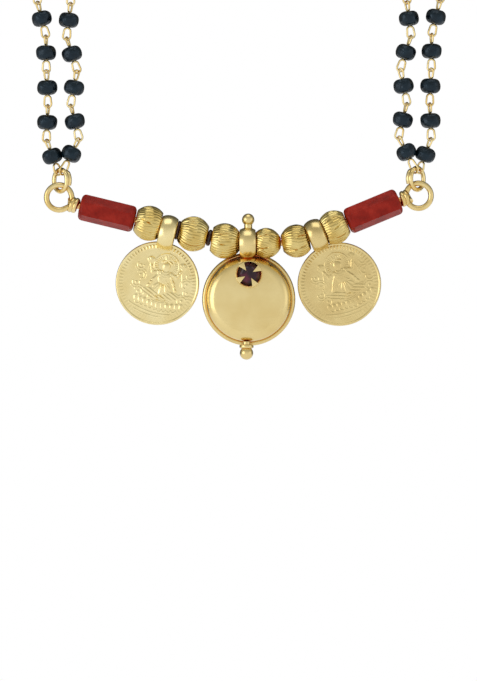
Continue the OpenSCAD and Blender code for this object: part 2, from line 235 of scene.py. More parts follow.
def end_of_bar(side):
    """Eye at one end of the bar, with the tail wound round the wire."""
    at = on_bar(coil_at[side])
    start = at.translation
    away = start - eye_centre[side]
    half = 90 - degrees(asin(eye_r / away.length))
    base = degrees(atan2(away.z, away.x))
    eye = arc(eye_centre[side], across, up, eye_r, base + half, 360 - 2 * half, 48)
    along = (at.to_3x3() @ (side * across)).normalized()
    beside = Vector((-along.z, 0, along.x))
    coil = []
    for i in range(int(coil_turns * coil_steps) + 1):
        share = i / (coil_turns * coil_steps)
        angle = radians(360 * coil_turns * share + coil_start)
        swing = cos(angle) * beside - sin(angle) * back
        coil.append(start + coil_len * (0.5 - share) * along + coil_r * swing)
    return [drawn_wire([start] + eye + [start], eye_wire_d), drawn_wire(coil, coil_wire_d, 12)]


# Gold plating on drawn wire: smooth and bright, it shows as thin clear streaks of light
bright_wire = plated_gold("gold_plated_wire", "#f0dca2", "#dfc079", 0.2)

bar_route = [wire_at(bar_start + bar_len * i / 130)[0] for i in range(131)]
bar_parts = [drawn_wire(bar_route, wire_d)] + end_of_bar(-1) + end_of_bar(1)
bar = piece("bar_wire", join((part, Matrix()) for part in bar_parts), bright_wire)
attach(bar, "necklace")
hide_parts("front_wire")


# Jump rings
# A coiled ring of gold-plated wire joins each eye of the bar to its two chains. The ring closes with
# a short second turn laid beside the first.

ring_centre = Vector((-26.75, 0, 9.38))
ring_r = 1.64
ring_wire_d = 0.68
ring_yaw = radians(52)
# The second turn: the degrees that it starts and ends at, how far it lies out, and the step down from it
overlap_start, overlap_end = -25, 41
overlap_out = 0.5
step_sweep = 14
# The right side mirrors the left, and hangs a little higher
lift_right = 0.255
to_right = Matrix.Translation((0, 0, lift_right)) @ Matrix.Scale(-1, 4, across)


def coiled_ring():
    """Ring drawn from the loose end of its second turn, through a short step down, once round."""
    route = []
    for i in range(97):
        angle = overlap_start + (360 + overlap_end - overlap_start) * i / 96
        step = min(max((angle - overlap_end) / step_sweep, 0), 1)
        out = overlap_out * (1 - step * step * (3 - 2 * step))
        route.append(Vector((ring_r * cos(radians(angle)), out, ring_r * sin(radians(angle)))))
    return drawn_wire(route, ring_wire_d)


# The same plating on thin wire, painted a shade lighter as a painted highlight: small bright glints between
# the beads
link_gold = plated_gold("gold_plated_link_wire", "#f8e6ae", "#e6c67c", 0.2)

hung_ring = Matrix.Translation(ring_centre) @ Matrix.Rotation(-ring_yaw, 4, "Z")
for side, place in (("left", hung_ring), ("right", to_right @ hung_ring)):
    ring = piece("jump_ring_coil_" + side, join([(coiled_ring(), place)]), link_gold)
    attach(ring, "necklace")
    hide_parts("jump_ring_" + side)


# Coral tubes
# Red coral, or glass made to look like it, ground to six flats and drilled for the wire. The corners and
# ends are rubbed round, so each long edge catches a soft line of light.

coral_d = 4.0
coral_len = 8.48
coral_bore = 1.3
# Degrees from the tube's underside, toward the back, to its first corner
coral_turn = 98
coral_end_round = 0.65
coral_edge_round = 0.25
coral_at = {"left": -21.55, "right": 19.75}
along_wire = Matrix.Rotation(pi / 2, 4, "Y")


def strung(s, length):
    """Place of a bored piece on the bar: along the chord of the wire under it, its Z axis along the wire."""
    start, end, middle = wire_at(s - length / 2)[0], wire_at(s + length / 2)[0], wire_at(s)[0]
    lean = atan2(end.z - start.z, end.x - start.x)
    centre = (start + end) / 4 + middle / 2
    return Matrix.Translation(centre) @ Matrix.Rotation(-lean, 4, "Y") @ along_wire


def ground_tube():
    """Six-sided tube: its end faces are inset to the bore and bridged, then the edges are rubbed round."""
    bm = bmesh.new()
    bmesh.ops.create_cone(bm, cap_ends=True, segments=6, radius1=coral_d / 2, radius2=coral_d / 2,
                          depth=coral_len, matrix=Matrix.Rotation(radians(coral_turn), 4, "Z"))
    ends = [f for f in bm.faces if abs(f.normal.z) > 0.9]
    bmesh.ops.inset_individual(bm, faces=ends, thickness=(coral_d / 2 - coral_bore / 2) * cos(pi / 6))
    bmesh.ops.delete(bm, geom=ends, context="FACES_ONLY")
    rims = [e for e in bm.edges if e.is_boundary]
    bmesh.ops.bridge_loops(bm, edges=rims)
    rims = [e for e in bm.edges if all(hypot(v.co.x, v.co.y) > coral_d * 0.45 for v in e.verts)
            and abs(e.verts[0].co.z - e.verts[1].co.z) < 0.1]
    bmesh.ops.bevel(bm, geom=rims, offset=coral_end_round, offset_type="OFFSET", segments=4, profile=0.5,
                    affect="EDGES", material=-1)
    ridges = []
    for e in bm.edges:
        turns = [degrees(atan2(v.co.y, v.co.x)) - coral_turn for v in e.verts]
        at_corner = all(abs((turn + 30) % 60 - 30) < 0.5 for turn in turns)
        outside = hypot(*e.verts[0].co.xy) > coral_bore * 0.7
        if at_corner and outside and abs(e.verts[0].co.z - e.verts[1].co.z) > 1e-3:
            ridges.append(e)
    bmesh.ops.bevel(bm, geom=ridges, offset=coral_edge_round, offset_type="OFFSET", segments=3, profile=0.5,
                    affect="EDGES", material=-1)
    return to_mesh(bm)


# Polished coral: clouds of darker and lighter red as in wax, a skin of fine specks, and a soft low gloss
coral, tree, shader = new_material("polished_red_coral")
where = add(tree, "TexCoord").outputs["Object"]
cloudy = add(tree, "TexNoise", {"Vector": where, "Scale": 1 / (1.6 * mm), "Detail": 5, "Roughness": 0.6})
specks = add(tree, "TexNoise", {"Vector": where, "Scale": 1 / (0.25 * mm), "Detail": 2})
tone = add(tree, "ValToRGB", {"Fac": cloudy.outputs["Fac"]},
           [(0.25, "#6e1209"), (0.5, "#881b10"), (0.8, "#a22a1c")])
rubbed = add(tree, "Bump", {"Height": specks.outputs["Fac"], "Distance": 0.012 * mm, "Strength": 1})
connect(tree, shader, {"Base Color": tone.outputs["Color"], "Normal": rubbed.outputs["Normal"],
                       "Roughness": 0.3, "IOR": 1.5, "Specular IOR Level": 0.14})

for side, s in coral_at.items():
    tube = piece("coral_" + side, join([(ground_tube(), strung(s, coral_len))]), coral, crease=50)
    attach(tube, "necklace")
    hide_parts("coral_tube_" + side)


# Ribbed gold beads
# Hollow, nearly round beads of thin gold-plated sheet, pressed with fine ribs from bore to bore. A few
# longer grooves are cut over the ribs by hand, so they slant and bow differently on each bead.

# Each bead: place on the wire, length, diameter, and how far its widest ring is off its middle
bead_sizes = [(-15.28, 3.82, 5.28, 0.2), (-8.315, 4.27, 5.28, 0.03), (-3.24, 4.42, 5.34, -0.25),
              (2.99, 4.0, 4.56, -0.2), (7.25, 4.14, 5.0, 0.13), (13.37, 4.08, 5.1, 0.08)]
gold_bore = 1.5
ribs = 32
rib_depth = 0.14
# How far each bead's ribs twist from its middle to its end, in radians
rib_lean = [0.1, 0.02, 0.06, -0.3, -0.15, 0.08]
groove_depth = 0.22
groove_w = 0.34
# Each groove, cut three times round its bead: degrees below the middle of the front, slant, bow, and its
# two ends along the bead
grooves = [
    [(-1, 13, 0, -0.7, 0.6), (-30, -45, 0, -1, -0.6)],
    [(-45, 5, 6, -0.9, 0.2), (46, 0, -4, -0.8, 0.9)],
    [(-28, -8, 24, -0.8, 0.3), (14, -6, 0, -0.5, 0.1)],
    [(20, -14, 0, -0.9, 0.2), (-35, -10, 0, -0.8, 0.8)],
    [(34, -10, 0, -0.8, 0.8), (-12, -9, 0, 0, 0.9)],
    [(-39, -8, 30, -0.6, 0.9), (43, 2, 0, -0.8, 0.8), (8, -14, 0, -0.2, 0.8)],
]


def turned(profile, steps=64):
    """Turns (radius, height) points once round the Z axis; points on the axis close to a pole."""
    bm = bmesh.new()
    verts = [bm.verts.new((radius, 0, height)) for radius, height in profile]
    edges = [bm.edges.new(pair) for pair in zip(verts, verts[1:])]
    bmesh.ops.spin(bm, geom=verts + edges, axis=up, cent=(0, 0, 0), steps=steps, angle=2 * pi,
                   use_merge=True)
    bmesh.ops.remove_doubles(bm, verts=bm.verts, dist=1e-5)
    return bm


def ribbed_bead(index, length, d, widest):
    """Round bead, widest a little off the middle of its length, with ribs that wander and the cut grooves."""
    rows = 26
    profile = [(gold_bore / 2, length / 2)]
    for i in range(rows + 1):
        along = length * (0.5 - i / rows)
        profile.append((d / 2 * (1 - ((along - widest) / (0.525 * d)) ** 2) ** 0.6, along))
    profile += [(gold_bore / 2, -length / 2), profile[0]]
    bm = turned(profile, ribs * 8)
    for v in bm.verts:
        radius, turn, t = hypot(v.co.x, v.co.y), atan2(v.co.y, v.co.x), v.co.z / (length / 2)
        if radius < gold_bore / 2 + 0.02:
            continue
        wave = 0.05 * sin(3 * t + index) * sin(2 * turn + index) + 0.02 * sin(8 * t + 5 * turn + index)
        rib = abs(sin((turn + rib_lean[index] * t + wave) * ribs / 2))
        worn = 0.7 + 0.5 * noise.noise(v.co + Vector((index, 0, 0)))
        depth = rib_depth * worn * (1 - rib) ** 1.3 * min(1, 4 * (1 - abs(t)) + 0.3)
        for middle, slant, bow, start, end in grooves[index]:
            line = radians(middle - 90 + slant * t + bow * t * t)
            off = abs((turn - line + pi / 3) % (2 * pi / 3) - pi / 3) * radius
            fade = min(1, max(0, 5 * (t - start)), max(0, 5 * (end - t)))
            depth += groove_depth * max(0, 1 - off / (groove_w / 2)) * fade
        v.co.xy *= (radius - depth) / radius
    return to_mesh(bm)


# Pressed sheet, plated and tumbled: bright on the ribs, with deep orange painted shade between them, so each
# rib shows
pressed_gold = plated_gold("gold_plated_pressed_sheet", "#e4d08b", "#ceb064", 0.17, hollow_shade_reach=(1.3, 0.62))

for index, (s, length, d, widest) in enumerate(bead_sizes):
    pressed = join([(ribbed_bead(index, length, d, widest), strung(s, length))])
    bead = piece("ribbed_gold_bead_%d" % (index + 1), pressed, pressed_gold, crease=60)
    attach(bead, "necklace")
    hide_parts("ribbed_bead_%d" % (index + 1))


# Dark spacers: painted shade in the gaps
# Two small discs of glass, so dark a red that they look black, fill the gaps beside the second bead: they
# are painted shade, dark pieces where the gaps fall in shade. They are cut from rod, and their rims are
# rubbed round.

# Each disc: place on the wire, length and diameter
spacer_sizes = {"disc": (-10.66, 0.4, 2.9), "bead": (-5.82, 0.68, 2.5)}
spacer_bore = 1.24


def spacer(length, d):
    """Bored disc with a half-round rim."""
    r = length / 2
    line = [(spacer_bore / 2, r)]
    for i in range(9):
        a = radians(90 - 22.5 * i)
        line.append((d / 2 - r + r * cos(a), r * sin(a)))
    line += [(spacer_bore / 2, -r), line[0]]
    return to_mesh(turned(line, 48))


# Dark red glass: black to the eye, painted shade for the gaps, with the red in faint clouds where the glass
# is thin
gap_shade_glass, tree, shader = new_material("dark_red_glass_for_gap_shade")
clouds = add(tree, "TexNoise", {"Vector": add(tree, "TexCoord").outputs["Object"], "Scale": 1 / (0.9 * mm)})
tone = add(tree, "ValToRGB", {"Fac": clouds.outputs["Fac"]}, [(0.35, "#0c0204"), (0.75, "#3a0c0a")])
connect(tree, shader, {"Base Color": tone.outputs["Color"], "Roughness": 0.25, "IOR": 1.5})

for kind, (s, length, d) in spacer_sizes.items():
    disc = piece("gap_shade_glass_" + kind, join([(spacer(length, d), strung(s, length))]), gap_shade_glass, crease=50)
    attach(disc, "necklace")
    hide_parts("spacer_" + kind)


# Cup pendant
# A shallow cup spun from thin brass sheet, its closed face forward and its edge rolled to a flange behind.
# Bail, balls and the stone's collet with four claws are soldered on, and the whole is plated.

cup_r = 7.01
dome_r = 6.38
cup_wall = 0.55
cup_centre = Vector((bail_x + 0.19, 0, -8.4))
cup_front = 1.3
crown = 0.25
shoulder = 1.6
flange_back, flange_front = 2.1, 1.65
edge_wide = 0.38
# Every bail is as wide, bows to the same radius and has its edges broken
bail_w = 2.4
bow_r = 2.2
broken_edge = 0.02
bail_outer_r, bail_bore_r = 2.33, 1.9
# The ball over the cup and the finial under it: where they stand, and their diameters
ball_x, ball_z, ball_d = bail_x + 0.1, 3.5, 1.86
finial_x, finial_z, finial_d = bail_x - 0.15, -16.5, 2.0
stone_centre = Vector((bail_x + 0.22, 0, -4.7))
stone_d = 3.6
stone_r = stone_d / 2
# The claws: their turns about the stone, how far forward they lie, how far their tips and roots are from
# its middle, and their width and thickness
claw_turns = (60, 150, 232, 330)
claw_lift = 2.14
claw_tip, claw_root = 0.62, 1.95
claw_w, claw_t = 1.1, 0.26
to_front = Matrix.Rotation(pi / 2, 4, "X")


def dome_line(inset):
    """Profile of the spun face from its edge to the middle, inset by the sheet."""
    radius, height, bend = dome_r - inset, cup_front - inset, shoulder - inset
    line = [(radius, 0.05 - flange_back)]
    for i in range(13):
        a = radians(i * 7.5)
        line.append((radius - bend + bend * cos(a), height - crown - bend + bend * sin(a)))
    for i in range(9, -1, -1):
        line.append(((radius - bend) * i / 10, height - crown * (i / 10) ** 2))
    return line


def ball(d):
    """Ball with its poles up and down."""
    rows = 16
    line = [(d / 2 * sin(pi * i / rows), d / 2 * cos(pi * i / rows)) for i in range(rows + 1)]
    return to_mesh(turned(line, 2 * rows))


def post(d, height, edge=0.08):
    """Short round bar with softened edges, standing on its end."""
    r, soft = d / 2, edge * 0.3
    return to_mesh(turned([(0, height), (r - edge, height), (r - soft, height - soft), (r, height - edge),
                           (r, edge), (r - soft, soft), (r - edge, 0), (0, 0)], 32))


def band(width, outer, bore):
    """Bail: a bowed band about the Z axis with broken edges, from its width and its two radii."""
    line = []
    for i in range(17):
        h = width / 2 * (1 - i / 8)
        line.append((outer - bow_r + sqrt(bow_r * bow_r - h * h), h))
    for i in (0, -1):
        line[i] = (line[i][0] - broken_edge, line[i][1])
    for radius, h in ((bore + broken_edge, width / 2), (bore, width / 2 - broken_edge)):
        line = [(radius, h)] + line + [(radius, -h)]
    return to_mesh(turned(line + [line[0]], 64))


def claw():
    """Pointed claw laid over the stone's edge."""
    bm = bmesh.new()
    outline = [(claw_tip, 0, 0.02), (claw_root, claw_w / 2, -0.06), (claw_root + 0.05, 0, -0.06),
               (claw_root, -claw_w / 2, -0.06)]
    face = bm.faces.new([bm.verts.new(corner) for corner in outline])
    out = bmesh.ops.extrude_face_region(bm, geom=[face])["geom"]
    bmesh.ops.translate(bm, vec=(0, 0, claw_t), verts=[g for g in out if isinstance(g, bmesh.types.BMVert)])
    bmesh.ops.recalc_face_normals(bm, faces=bm.faces)
    bmesh.ops.bevel(bm, geom=bm.edges[:], offset=0.07, segments=2, profile=0.5, affect="EDGES", material=-1)
    return to_mesh(bm)


shell = dome_line(0) + dome_line(cup_wall)[::-1]
shell.append((dome_r - cup_wall, 0.05 - flange_back))
# The rolled edge bulges more forward than back
edge_mid = -(flange_front + flange_back) / 2
rolled = [(dome_r - 0.2, edge_mid + 0.2)]
for i in range(21):
    a = radians(12 * i - 60)
    bulge = 0.45 if cos(a) > 0 else 0.25
    rolled.append((cup_r - edge_wide + edge_wide * sin(a), edge_mid + bulge * cos(a)))
rolled.append((dome_r - 0.2, edge_mid - 0.25))
collet = [(stone_r + 0.07, 2.26), (stone_r + 0.13, 2.32), (stone_r + 0.19, 2.26), (stone_r + 0.21, 2.1),
          (stone_r + 0.21, 0.3), (stone_r + 0.07, 0.3), (stone_r + 0.07, 2.26)]
at_cup = Matrix.Translation(cup_centre) @ to_front
at_stone = Matrix.Translation(stone_centre) @ to_front
cup_parts = [
    (to_mesh(turned(shell, 128)), at_cup),
    (to_mesh(turned(rolled + [rolled[0]], 128)), at_cup),
    (to_mesh(turned(collet, 64)), at_stone),
    (band(bail_w, bail_outer_r, bail_bore_r), Matrix.Translation((bail_x, 0, 0)) @ along_wire),
    (post(1.2, 0.9), Matrix.Translation((ball_x, 0, 2.05))),
    (ball(ball_d), Matrix.Translation((ball_x, 0, ball_z))),
    (post(1.1, 0.76), Matrix.Translation((finial_x, 0, finial_z + 1))),
    (post(2.1, 0.6, 0.2), Matrix.Translation((finial_x, 0, finial_z + 0.7))),
    (ball(finial_d), Matrix.Translation((finial_x, 0, finial_z))),
]
for angle in claw_turns:
    turn = Matrix.Rotation(radians(angle), 4, "Y")
    cup_parts.append((claw(), Matrix.Translation(stone_centre - claw_lift * back) @ turn @ to_front))

# Spun sheet, buffed satin before plating: broad soft lights, and warm painted shade in the corners by the
# collet
satin_gold = plated_gold("gold_plated_satin_sheet", "#edd89b", "#e0c684", 0.25, cloud=5, hollow_shade_reach=(1.2, 0.34))

cup = piece("cup_and_bail", join(cup_parts), satin_gold, crease=40)
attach(cup, "cup")
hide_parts("cup_pendant")


# Red stone
# A round brilliant of garnet-red glass, pressed and polished in rings of sixteen facets. It is backed
# with foil and seated in the collet, and the claws are bent over its edge.

# Each ring of the stone: height, width as a share of the stone's, and how far its odd corners draw in
stone_rows = [(0.75, 0.1, 1), (1.5, 1, 1), (1.62, 1, 1), (1.86, 0.84, 0.9), (2.08, 0.6, 0.94)]


def cut_stone():
    """Culet, girdle, crown and table as rings of sixteen, every second corner of the crown drawn in."""
    bm = bmesh.new()
    height, width = stone_rows[0][:2]
    bmesh.ops.create_circle(bm, segments=16, radius=stone_r * width,
                            matrix=Matrix.Translation((0, 0, height)))
    ring = bm.edges[:]
    bmesh.ops.edgeloop_fill(bm, edges=ring)
    for height, width, dip in stone_rows[1:]:
        verts, ring = extruded(bm, ring)
        for v in verts:
            turn = atan2(v.co.y, v.co.x)
            corner = round(turn / (pi / 8)) % 2
            reach = stone_r * width * (dip if corner else 1)
            v.co = (reach * cos(turn), reach * sin(turn), height)
    bmesh.ops.edgeloop_fill(bm, edges=ring)
    bmesh.ops.triangulate(bm, faces=[f for f in bm.faces if len(f.verts) == 4])
    return to_mesh(bm)


# Garnet-red glass, its own red, in cells of near black and wine red: painted reflections of the foil's light
garnet, tree, shader = new_material("garnet_red_glass")
where = add(tree, "TexCoord").outputs["Object"]
painted_reflections = add(tree, "TexVoronoi", {"Vector": where, "Scale": 1 / (1.1 * mm)})
tone = add(tree, "ValToRGB", {"Fac": painted_reflections.outputs["Distance"]},
           [(0.0, "#0a0107"), (0.5, "#2c0618"), (0.9, "#5a1730")])
connect(tree, shader, {"Base Color": tone.outputs["Color"], "Roughness": 0.05, "IOR": 1.75,
                       "Specular IOR Level": 0.2})

stone = piece("red_stone", join([(cut_stone(), at_stone)]), garnet, crease=5)
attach(stone, "cup")
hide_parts("cup_stone")


# Coin drops
# Thin discs struck in gold-plated brass: a plain rim, a ring of short ticks and a worn low relief of
# a seated goddess with lotuses, in a plain traditional form. A band bail is soldered behind the top.

coin_r = 6.28
coin_t = 0.8
coin_back = 1.7
# As shares of the coin's radius: where the rim starts, and the ring of ticks
rim_in = 0.945
tick_in, tick_out = 0.825, 0.925
rim_height = 0.1
relief = {"left": 0.24, "right": 0.17}
figure_scale = 1.2
figure_x = 0.65
# Each coin: place on the wire, how far right of its bail and how far down, and its bail's drop and two radii
coin_at = {"left": (-12.1, 0.29, 8.43, 0.71, 2.64, 1.9), "right": (10.5, 0.42, 8.16, 0.05, 2.45, 2.05)}


def ridge(x, z, x1, z1, x2, z2, width):
    """Height share of a rounded ridge between two points."""
    dx, dz = x2 - x1, z2 - z1
    t = min(max(((x - x1) * dx + (z - z1) * dz) / (dx * dx + dz * dz + 1e-9), 0), 1)
    away = hypot(x - x1 - t * dx, z - z1 - t * dz) / (width / 2)
    return sqrt(1 - away * away) if away < 1 else 0


def curl(x, z, cx, cz, r, start, sweep, width):
    """Height share of a rounded line along an arc, angles in degrees."""
    away = hypot(x - cx, z - cz)
    if abs(away - r) > width:
        return 0
    turn = (degrees(atan2(z - cz, x - cx)) - start) % 360
    if turn > sweep:
        return 0
    share = abs(away - r) / (width / 2)
    return sqrt(1 - share * share) if share < 1 else 0


def mound(x, z, cx, cz, wide, tall):
    """Height share of a rounded boss."""
    away = hypot((x - cx) / (wide / 2), (z - cz) / (tall / 2))
    return sqrt(1 - away * away) if away < 1 else 0


def goddess(x, z):
    """Relief of a seated goddess on a lotus, a lotus in each raised hand, as a share of its full height."""
    u = abs(x - figure_x)
    v = u * (-1 if x < figure_x else 1)
    # Head with its hair and crown, and a rayed halo
    turn = atan2(z - 2.3, x - figure_x)
    away = hypot(u, z - 2.3)
    h = mound(u, z, 0, 2.28, 0.95, 1.2)
    for i in range(-3, 4):
        h = max(h, 0.7 * mound(v, z, i * 0.2, 3.02 - abs(i) * 0.09, 0.22, 0.3))
    for i in (-1, 0, 1):
        h = max(h, 0.75 * ridge(v, z, i * 0.2, 3.15, i * 0.3, 3.62 - abs(i) * 0.16, 0.22))
    h = max(h, 0.6 * mound(u, z, 0, 3.82, 0.24, 0.36))
    if 1.0 < away < 1.45 and z > 1.6:
        h = max(h, 0.45 * max(0, cos(turn * 34)))
    h = max(h, 0.5 * curl(x, z, figure_x, 2.3, 1.55, -20, 220, 0.14))
    # Body and shoulders, strings of beads and a sash
    h = max(h, 0.75 * mound(u, z, 0, 0.9, 1.6, 1.9), 0.9 * mound(u, z, 0.4, 1.15, 0.7, 0.7))
    h = max(h, 0.85 * mound(u, z, 0.75, 1.5, 0.5, 0.4))
    for i in range(3):
        h = max(h, 0.9 * curl(x, z, figure_x, 1.95, 0.5 + i * 0.3, 215, 110, 0.13))
    h = max(h, 0.8 * ridge(v, z, -0.75, 1.5, 0.7, 0.1, 0.2))
    # Two arms raised and two lowered, with bangles, and the lotuses in the raised hands
    bangle = 0.85 + 0.15 * cos(hypot(u - 1.6, z - 1.2) * 16)
    for arm in ((0.75, 1.45, 1.55, 1.2, 0.42), (1.55, 1.2, 1.95, 2.1, 0.34),
                (0.75, 1.2, 1.35, 0.25, 0.36), (1.35, 0.25, 1.75, -0.55, 0.3)):
        h = max(h, bangle * ridge(u, z, *arm))
    petal = 0.55 + 0.45 * abs(sin(3.5 * atan2(z - 2.5, u - 2.05)))
    h = max(h, 0.8 * petal * mound(u, z, 2.05, 2.72, 1.0, 0.85), 0.7 * mound(u, z, 2.05, 2.35, 0.3, 0.3))
    h = max(h, 0.4 * ridge(u, z, 2.0, 2.2, 2.5, 0.2, 0.14))
    # Folds of the skirt over the lap, knees and shins
    fold = 0.62 + 0.38 * cos(atan2(u - 0.1, 0.4 - z) * 15)
    h = max(h, fold * mound(u, z, 0, -0.55, 2.3, 1.7))
    fold = 0.65 + 0.35 * cos((x * 0.45 + z) * 15)
    h = max(h, fold * mound(u, z, 1.35, -1.25, 2.3, 1.1), fold * ridge(v, z, 1.9, -1.5, -1.3, -1.9, 0.5))
    for i in range(5):
        h = max(h, 0.5 * curl(x, z, figure_x, 0.2, 1.75 + i * 0.2, 238, 64, 0.11))
    # Petals of the lotus seat, and two ground lines under it
    for i in range(-5, 6):
        low = abs(i) * 0.09
        h = max(h, 0.65 * mound(v, z, i * 0.58, -2.72 + low, 0.5, 0.75))
        h = max(h, 0.5 * curl(v, z, i * 0.58 + 0.29, -3.2 + low, 0.27, 180, 180, 0.12))
    h = max(h, 0.45 * curl(x, z, figure_x, 5.6, 9.35, 247, 46, 0.14))
    h = max(h, 0.35 * curl(x, z, figure_x, 5.6, 9.75, 250, 40, 0.12))
    # Scrolls of stem on both sides
    for cx, cz, r, start in ((2.95, 0.55, 0.5, 30), (3.25, -0.45, 0.45, 150),
                             (2.8, -1.55, 0.5, 20), (3.15, 1.75, 0.42, 170)):
        h = max(h, 0.5 * curl(u, z, cx, cz, r, start, 230, 0.16), 0.45 * mound(u, z, cx, cz, 0.34, 0.34))
        h = max(h, 0.35 * curl(u, z, cx, cz, r + 0.28, start + 60, 120, 0.12))
    return h


def coin_height(x, z, relief):
    """Height of the struck face above the plain disc."""
    away = hypot(x, z) / coin_r
    turn = atan2(z, x)
    if away > rim_in:
        return rim_height * max(min(1, (away - rim_in) / 0.012, (1 - away) / 0.02), 0)
    if away > tick_in:
        tick = max(0, cos(turn * 72) - 0.1) * min(1, (away - tick_in) / 0.012, (tick_out - away) / 0.012)
        return (0.07 + 0.04 * sin(turn)) * max(tick, 0)
    wear = 0.72 + 0.5 * noise.noise(Vector((x * 0.8, z * 0.8, 3)))
    swell = 0.07 * max(0, 1 - (away / 0.8) ** 2) ** 2
    ground = 0.01 * noise.noise(Vector((x * 2, z * 2, 0)))
    return relief * wear * goddess(x / figure_scale, z / figure_scale) + swell + ground


def struck_coin(relief):
    """Disc turned with fine rings on its face, then struck; its back is plain."""
    rings, half = 96, coin_t / 2
    profile = [((coin_r - 0.1) * i / rings, half) for i in range(rings + 1)]
    profile += [(coin_r - 0.02, half - 0.03), (coin_r, half - 0.12), (coin_r, 0.12 - half),
                (coin_r - 0.1, -half), (coin_r * 0.5, -half), (0, -half)]
    bm = turned(profile, 360)
    for v in bm.verts:
        if v.co.z > half - 0.01:
            v.co.z += coin_height(v.co.x, v.co.y, relief)
    return to_mesh(bm)


# Struck brass, plated: pale lights on the worn relief over warmer ground. The left coin is painted lighter
# and the right one darker, as painted light and shade from the soft box on the left
struck_gold = {"left": plated_gold("struck_brass_painted_lit", "#f8e7ae", "#eed99a", 0.23),
               "right": plated_gold("struck_brass_painted_shaded", "#ead496", "#dac183", 0.25)}

for side, (s, off, drop, low, outer, bore) in coin_at.items():
    hang = on_bar(s)
    solder = Vector((0.25 - bail_w / 2, 1.45, 0.52 - low - outer))
    parts = [(struck_coin(relief[side]), hang @ Matrix.Translation((off, coin_back, -drop)) @ to_front),
             (band(bail_w, outer, bore), hang @ Matrix.Translation((0, 0, -low)) @ along_wire),
             (post(1.0, bail_w - 0.5), hang @ Matrix.Translation(solder) @ along_wire)]
    coin = piece("coin_drop_" + side, join(parts), struck_gold[side], crease=60)
    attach(coin, side + "_coin")
    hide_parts("coin_" + side)


# Chains
# Two strands on each side, from jump ring to end ring. Each black glass bead sits on its own wire link,
# whose eyes, turned 55 degrees to each other, hook into the next links. The routes are the CAD's own.

pitch = 5.22
bead_d = 3.04
bead_l = 2.2
link_wire_d = 0.3
pin_low, pin_high = -1.25, 1.2
# Eyes under and over the bead: radius, distance from its middle, and the throat's distance and radius
low_eye_r, low_eye_off = 0.56, 2.44
high_eye_r, high_eye_off = 0.43, 2.19
low_throat, high_throat = (1.72, 0.5), (1.5, 0.34)
high_turn = radians(55)
# An eye that hooks on a ring is wider
wide_eye_r = 0.65
# Each strand: degrees round the jump ring to its hook, how far off its first bead is, and each link's lean
# in degrees: five as in the photograph, a straight run, and the curve over to the nape
strands = {
    "outer": {"turn": -25, "hold": 2.35, "run": [-20, 2.5, -2.6, -0.8, -14] + [-3.5] * 24
              + [12.4 * i - 3.5 for i in range(1, 8)] + [108]},
    "inner": {"turn": 25, "hold": 2.8, "run": [26, -14, 11, -18, 7] + [-4.5018] * 24
              + [15.1164 * i - 4.5018 for i in range(1, 7)] + [72]},
}
# The beads turn by the golden angle from one to the next, so that their lumps never line up
golden = 2.4
link_twist = 0.25


def on_ring(turn):
    """Point on the left jump ring, turn degrees from its top toward the viewer."""
    t = radians(turn)
    return ring_centre + ring_r * Vector((sin(t) * cos(ring_yaw), -sin(t) * sin(ring_yaw), cos(t)))


def units(turn, hold, run):
    """Places of a strand's units on the left side: Z runs along the link."""
    start = on_ring(turn)
    tilt = asin(start.y / (hold + pitch / 2))
    places = []
    at = start
    for i, lean in enumerate(run):
        aim = Matrix.Rotation(radians(lean), 4, "Y") @ Matrix.Rotation(tilt if i == 0 else 0, 4, "X")
        heading = aim.to_3x3() @ up
        middle = start + hold * heading if i == 0 else at + pitch / 2 * heading
        places.append(Matrix.Translation(middle) @ aim)
        at = middle + pitch / 2 * heading
    return places


def eye(far, radius, throat, throat_r, turn):
    """Long eye of link wire on the link's axis, round at its far end and at its throat by the bead."""
    sideways = Vector((cos(turn), sin(turn), 0))
    outward = up if far > 0 else -up
    wide = arc(far * up, sideways, outward, radius, -12, 204, 12)
    narrow = arc(outward * throat, sideways, outward, throat_r, 200, 140, 8)
    return drawn_wire(wide + narrow, link_wire_d, 8, closed=True)


def link(low, low_r, low_turn, high, high_r):
    """Wire through a bead with an eye at each end."""
    pin = drawn_wire([pin_low * up, pin_high * up], link_wire_d - 0.03, 8)
    eyes = eye(-low, low_r, *low_throat, low_turn), eye(high, high_r, *high_throat, high_turn)
    return join((part, Matrix()) for part in (*eyes, pin))


def glass_bead():
    """Short pressed bead with full shoulders and dimpled ends, a little lumpy."""
    line = [(0.3, bead_l / 2 - 0.2), (0.3, 0.2 - bead_l / 2)]
    for i in range(13):
        a = radians(-90 + 15 * i)
        height = abs(sin(a)) ** 0.85 * (1 if a > 0 else -1)
        line.append((0.5 + (bead_d / 2 - 0.5) * abs(cos(a)) ** 0.85, bead_l / 2 * height))
    bm = turned(line + [line[0]], 24)
    for v in bm.verts:
        v.co *= 1 + 0.04 * noise.noise(v.co * 0.9)
    return to_mesh(bm)


# Pressed black glass: a blue cast, and a gloss that the orange-peel of its skin breaks into soft spots
black_glass, tree, shader = new_material("black_pressed_glass")
where = add(tree, "TexCoord").outputs["Object"]
lumps = add(tree, "TexNoise", {"Vector": where, "Scale": 1 / (1.1 * mm), "Detail": 3})
tone = add(tree, "ValToRGB", {"Fac": lumps.outputs["Fac"]}, [(0.3, "#020406"), (0.7, "#0b1a22")])
peel = add(tree, "Bump", {"Height": lumps.outputs["Fac"], "Distance": 0.4 * mm, "Strength": 0.9})
connect(tree, shader, {"Base Color": tone.outputs["Color"], "Normal": peel.outputs["Normal"],
                       "Roughness": 0.25, "IOR": 1.5, "Specular IOR Level": 0.55,
                       "Specular Tint": linear("#b9d2e8")})

